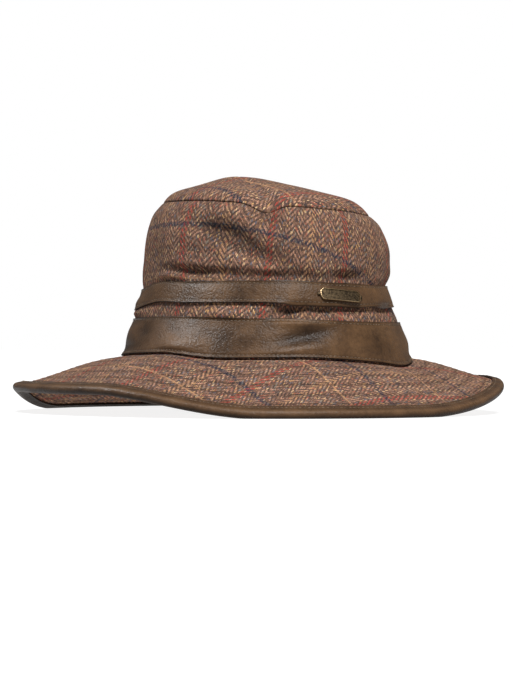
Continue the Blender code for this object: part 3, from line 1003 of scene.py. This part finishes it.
narrowBandFolds = [
    (70, 0.5, 9, 0.4, 0.1, 0.35), (36, 0.45, 10, 0.4, -0.1, 0.3), (100, 0.6, 8, 0.4, 0.0, 0.3),
    (126, 0.38, 12, 0.3, 0.0, 0.9), (-20, 0.5, 10, 0.4, 0.0, 0.3), (140, 0.5, 9, 0.4, 0.1, 0.35),
    (190, 0.5, 11, 0.4, -0.1, 0.35), (240, 0.5, 10, 0.4, 0.1, 0.3), (290, 0.5, 10, 0.4, -0.1, 0.3),
]
# How far the narrow band's lower edge stands off the crown at each angle, in mm
looseEdge = smoothCurve([
    (-90, 0.3), (-52, -0.1), (-20, 0.4), (10, 0.7), (30, 1.2), (48, 0.7), (60, 0.5), (76, 0.5), (95, 0.3),
    (125, -0.5), (180, 0.5), (225, 0.5),
], 360)
# How much paler the bands are at each angle: rubbed pale all round, and on the wearer's left, which faces the
# light from that side, painted lighter as painted light
rubbedAndLitAt = smoothCurve([
    (-90, 0.2), (-52, 0.3), (-25, 0.3), (0, 0.15), (25, 0.0), (125, 0.0), (180, 0.1), (225, 0.1),
], 360)
bandLook = {
    "flatEdge": 0.0035,  # metres from an edge in which the folds die away
    "closerRows": 0.7,  # how much closer together the rows of points lie towards the edges
    "rounding": 0.0004,
    "edgeRub": 0.15,
    "edgeRubAt": 0.0009,
    "edgeRubReach": 0.0004,
    "foldRubAndShade": 0.5,
    "darkest": -0.75,
    "palest": 0.4,
    "sewnShade": 0.4,
    "cutEdge": 0.9,
    "cutReach": 0.0005,
}


def bandRise(band, angle, up):
    width = band["width"]
    rise = sum(foldDepth(fold, angle, up) for fold in band["folds"]) * millimetre
    rise *= easeBetween(0, bandLook["flatEdge"], width * min(up, 1 - up))
    rise += band["bulge"] * math.sin(math.pi * up)
    for inFrom in (width * up, width * (1 - up)):
        rise -= edgeStitch["groove"] * bell(inFrom - edgeStitch["inFrom"], edgeStitch["grooveReach"])
    if band is wideBand:
        return rise + band["footCurl"] * bell(up, band["footReach"])
    return rise + looseEdge(angle) * millimetre * bell(up, band["looseReach"])


def edgeRows(up):
    return up - bandLook["closerRows"] * math.sin(2 * math.pi * up) / (2 * math.pi)


wideBand.update(low=0, high=wideTopShare, folds=wideBandFolds)
narrowBand.update(low=narrowLowShare, high=narrowTopShare, folds=narrowBandFolds)


# The outer face of a band, which lies a seam's gap and its own thickness out from the crown's cloth
def bandFrame(band, angle, up):
    share = band["low"] + (band["high"] - band["low"]) * up
    square = squareTo(sidePoint, angle, share)
    return sidePoint(angle, share) + square * (sewnGap + leatherWall + bandRise(band, angle, up)), square


def makeBand(band, node):
    def placeAt(across, up):
        return bandFrame(band, backAngle + 360 * across, edgeRows(up))[0]

    # The two bands lie at different places in the pattern of the hide
    def weaveAt(across, up):
        return band["length"] * across, band["width"] * edgeRows(up) / millimetre + len(band["folds"])

    def wearAndPaintedLightAt(across, up):
        angle, up = backAngle + 360 * across, edgeRows(up)
        inFrom = band["width"] * min(up, 1 - up)
        # Raised folds are rubbed paler, and creases are darkened with painted shade
        folded = sum(foldDepth(fold, angle, up) for fold in band["folds"])
        rubbed = bandLook["edgeRub"] * bell(inFrom - bandLook["edgeRubAt"], bandLook["edgeRubReach"])
        rubbed += min(max(bandLook["foldRubAndShade"] * folded, bandLook["darkest"]), bandLook["palest"])
        rubbed += rubbedAndLitAt(angle)
        # Painted shade along the grooves of the stitch rows
        stitchShade = bandLook["sewnShade"] * bell(inFrom - edgeStitch["inFrom"], bandLook["cutReach"])
        return rubbed - stitchShade - bandLook["cutEdge"] * bell(inFrom, bandLook["cutReach"])

    mesh = laySheet(band["columns"], band["rows"], placeAt, weaveAt, wearAndPaintedLightAt)
    faceTowards(mesh, lambda point: point - hatMiddle)
    makePiece(
        band["name"],
        mesh,
        bandLeather,
        [node],
        wall=leatherWall,
        rounding=bandLook["rounding"],
    )


makeBand(wideBand, "wide_band")
makeBand(narrowBand, "narrow_band")
print("bands made")


# A row of stitches: each spot is a point, the way along the row and the way out of the leather
def sewRow(name, spots):
    mesh = bmesh.new()
    for point, along, out in spots:
        turn = Matrix((along.cross(out), out, along)).transposed().to_4x4()
        size = Matrix.Diagonal((edgeStitch["thick"], edgeStitch["thick"], edgeStitch["half"], 1))
        place = Matrix.Translation(point) @ turn @ size
        bmesh.ops.create_uvsphere(mesh, u_segments=6, v_segments=4, radius=1, matrix=place)
    makePiece(name, mesh, thread)


# The spots of a row. frameAt gives a point of the leather at an angle, and the way out of it.
def stitchSpots(frameAt):
    spots = []
    for angle in evenAngles(lambda angle: frameAt(angle)[0], edgeStitch["spacing"]):
        point, out = frameAt(angle)
        along = (frameAt(angle + edgeStitch["angleStep"])[0] - point).normalized()
        out = (out - along * along.dot(out)).normalized()
        spots.append((point + out * edgeStitch["thick"] * edgeStitch["lift"], along, out))
    return spots


def bindingStitch(angle):
    return bindingPoint(angle, binding["stitchIn"]), bindingFrame(angle, binding["stitchIn"])[1]


for band, label in ((wideBand, "wide_band"), (narrowBand, "narrow_band")):
    low = edgeStitch["inFrom"] / band["width"]
    sewRow(label + "_stitches_low", stitchSpots(lambda angle: bandFrame(band, angle, low)))
    sewRow(label + "_stitches_high", stitchSpots(lambda angle: bandFrame(band, angle, 1 - low)))
sewRow("binding_stitches", stitchSpots(bindingStitch))
print("stitches made")

badge = {
    "angle": 9.5,
    "tilt": 2.5,
    "length": 0.0268,
    "width": 0.0072,
    "thickness": 0.0014,
    "corner": 0.0017,
    "rim": 0.00055,
    "rimSlope": 0.25,  # of the rim's width
    "recess": 0.00045,
    "rounding": 0.00022,
    "earReach": 0.0013,
    "earRadius": 0.0012,
    "earTaper": 0.85,
    "earHeight": 0.6,  # of the badge's thickness
    "earInset": 0.4,  # of the ear's radius
    "pinRadius": 0.0007,
    "pinHeight": 0.6,  # of the pin's radius
    "cuts": 16,
    "faceWear": 0.25,
    "rimWear": 0.85,
    "rimFrom": 0.6,  # of the thickness, above which the badge has rubbed bright; below it the sides get painted shade
    "earWear": 0.2,
    "sharpAngle": 40,
}
badgeLow, badgeMiddle, badgeHigh = 0.3, 0.4, 0.75  # shares of the narrow band's height


# The badge follows the narrow band: along it, across it and out from it
def badgePoint(along, across, proud):
    tilt, middle = math.radians(badge["tilt"]), badge["angle"]
    along, across = (
        along * math.cos(tilt) + across * math.sin(tilt),
        across * math.cos(tilt) - along * math.sin(tilt),
    )
    ahead, behind = bandFrame(narrowBand, middle + 1, 0.5)[0], bandFrame(narrowBand, middle - 1, 0.5)[0]
    angle = middle - along / ((ahead - behind).length / 2)
    low, high = bandFrame(narrowBand, angle, badgeLow)[0], bandFrame(narrowBand, angle, badgeHigh)[0]
    square = squareTo(sidePoint, angle, (narrowLowShare + narrowTopShare) / 2)
    up = (badgeMiddle + across / narrowBand["width"] - badgeLow) / (badgeHigh - badgeLow)
    return low.lerp(high, up) + square * (proud + sewnGap)


def makeBadge():
    end, half = badge["length"] / 2, badge["width"] / 2
    corner, thickness = badge["corner"], badge["thickness"]
    mesh = bmesh.new()
    wearAndPaintedLight = mesh.verts.layers.float.new("wearAndPaintedLight")
    corners = [(end, corner - half), (end, half - corner), (end - corner, half), (corner - end, half)]
    corners += [(-x, -y) for x, y in corners]
    face = mesh.faces.new([mesh.verts.new((x, y, 0)) for x, y in corners])
    bmesh.ops.extrude_face_region(mesh, geom=[face])
    for vert in list(mesh.verts)[len(corners):]:
        vert.co.z = thickness
    bmesh.ops.recalc_face_normals(mesh, faces=mesh.faces)
    top = max(mesh.faces, key=lambda face: face.calc_center_median().z)
    bmesh.ops.inset_region(mesh, faces=[top], thickness=badge["rim"])
    bmesh.ops.inset_region(mesh, faces=[top], thickness=badge["rim"] * badge["rimSlope"])
    for vert in top.verts:
        vert.co.z -= badge["recess"]
    topHeight, flattest = thickness - 1e-7, 0.1
    rims = [edge for edge in mesh.edges if all(vert.co.z > topHeight for vert in edge.verts)]
    rims = [edge for edge in rims if abs(edge.calc_face_angle(0)) > flattest]
    bmesh.ops.bevel(
        mesh,
        geom=rims,
        offset=badge["rounding"],
        offset_type="OFFSET",
        affect="EDGES",
        segments=3,
        profile=0.5,
        material=-1,
    )
    for cut in range(1, badge["cuts"]):
        place = Vector((-end + 2 * end * cut / badge["cuts"], 0, 0))
        everything = mesh.verts[:] + mesh.edges[:] + mesh.faces[:]
        bmesh.ops.bisect_plane(mesh, geom=everything, dist=mergeDistance, plane_co=place, plane_no=(1, 0, 0))
    faceHeight = thickness - badge["recess"] + mergeDistance
    rubbedHeight = badge["rimFrom"] * thickness
    # The sunk face is stained and the rim rubbed bright; the sides below the rim get the darkest colour, as
    # painted shade
    for vert in mesh.verts:
        inFace = abs(vert.co.y) < half - badge["rim"] and abs(vert.co.x) < end - badge["rim"]
        sunk = inFace and vert.co.z < faceHeight
        vert[wearAndPaintedLight] = badge["faceWear"] if sunk else badge["rimWear"] * (vert.co.z > rubbedHeight)
    earHeight = thickness * badge["earHeight"]
    earPlace = end + badge["earReach"] - badge["earRadius"] * badge["earInset"]
    for way in (-1, 1):
        ear = Vector((way * earPlace, 0, earHeight / 2))
        made = bmesh.ops.create_cone(
            mesh,
            cap_ends=True,
            segments=20,
            radius1=badge["earRadius"],
            radius2=badge["earRadius"] * badge["earTaper"],
            depth=earHeight,
            matrix=Matrix.Translation(ear),
        )
        ear.z = earHeight
        place = Matrix.Translation(ear) @ Matrix.Diagonal((1, 1, badge["pinHeight"], 1))
        pin = bmesh.ops.create_uvsphere(
            mesh, u_segments=14, v_segments=8, radius=badge["pinRadius"], matrix=place
        )
        for vert in made["verts"] + pin["verts"]:
            vert[wearAndPaintedLight] = badge["earWear"]
    for vert in mesh.verts:
        vert.co = badgePoint(*vert.co)
    bmesh.ops.recalc_face_normals(mesh, faces=mesh.faces)
    piece = makePiece("badge_brass", mesh, brass, ["badge"])
    piece.data.set_sharp_from_angle(angle=math.radians(badge["sharpAngle"]))


makeBadge()
print("badge made")

# A table of white acrylic, matt and lit from below, under soft light from above the camera's left
studio = {
    "floorReach": 40.0,
    "floorDrop": 0.0002,
    "floor": "8c8c8c",
    "floorSeen": 0.86,
    "floorLight": 0.36,
    "worldLight": 0.12,
    "worldSeen": 1.0,
    # Each light's name, where it shines from, its strength, its width in degrees, and whether it lights matt
    # surfaces and glints on shiny ones
    "lights": [
        ("key_light", (-0.40, -0.57, 0.95), 3.85, 20, True, True),
        ("fill_light", (0.55, -0.8, 0.3), 0.15, 30, True, True),
        ("right_light", (1.2, 0.3, 0.5), 0.3, 25, True, False),
        ("left_light", (-0.62, 0.50, 0.64), 3.2, 12, False, True),
    ],
}
mesh = bmesh.new()
bmesh.ops.create_circle(mesh, cap_ends=True, segments=96, radius=studio["floorReach"],
                        matrix=Matrix.Translation((0, 0, -studio["floorDrop"])))
data = bpy.data.meshes.new("studio_floor")
mesh.to_mesh(data)
mesh.free()
floor = bpy.data.objects.new("studio_floor", data)
scene.collection.objects.link(floor)
material, tree, shader = newMaterial("lit_acrylic_table")
shader.inputs["Base Color"].default_value = srgb(studio["floor"])
shader.inputs["Roughness"].default_value = 0.9
shader.inputs["Specular IOR Level"].default_value = 0.0
shader.inputs["Emission Color"].default_value = srgb("ffffff")
ray = addNode(tree, "LightPath")
glow = {0: ray.outputs["Is Camera Ray"], 3: studio["floorLight"], 4: studio["floorSeen"]}
glow = addNode(tree, "MapRange", glow)
tree.links.new(glow.outputs[0], shader.inputs["Emission Strength"])
data.materials.append(material)

world = bpy.data.worlds.new("studio")
scene.world = world
world.use_nodes = True
worldTree = world.node_tree
background = worldTree.nodes["Background"]
background.inputs["Color"].default_value = (1, 1, 1, 1)
ray = addNode(worldTree, "LightPath")
strength = {0: ray.outputs["Is Camera Ray"], 3: studio["worldLight"], 4: studio["worldSeen"]}
strength = addNode(worldTree, "MapRange", strength)
worldTree.links.new(strength.outputs[0], background.inputs["Strength"])


def addSun(name, comesFrom, power, angle, lights, glints):
    light = bpy.data.lights.new(name, "SUN")
    light.energy = power
    light.angle = math.radians(angle)
    sun = bpy.data.objects.new(name, light)
    sun.rotation_euler = Vector(comesFrom).to_track_quat("Z", "Y").to_euler()
    sun.visible_diffuse = lights
    sun.visible_glossy = glints
    scene.collection.objects.link(sun)


for light in studio["lights"]:
    addSun(*light)
scene.view_settings.view_transform = "Standard"

view = {
    "azimuth": -38.0,
    "distance": 1.5,
    "height": 0.041,
    "aside": -0.00547,
    "pitch": 0.148,
    "lens": 81.74,
    "sensor": 24,
    "farthest": 200,
}
turn = math.radians(view["azimuth"])
towards = Vector((math.sin(turn), -math.cos(turn), 0))
right = Vector((math.cos(turn), math.sin(turn), 0))
lens = bpy.data.cameras.new("camera")
lens.sensor_fit = "VERTICAL"
lens.sensor_height = view["sensor"]
lens.lens = view["lens"]
lens.clip_end = view["farthest"]
camera = bpy.data.objects.new("camera", lens)
aim = Vector((0, -crown["forward"], view["height"]))
camera.location = towards * view["distance"] + right * view["aside"] + aim
camera.rotation_euler = (math.radians(90 + view["pitch"]), 0, turn)
scene.collection.objects.link(camera)
scene.camera = camera
print("stage, lights and camera set")
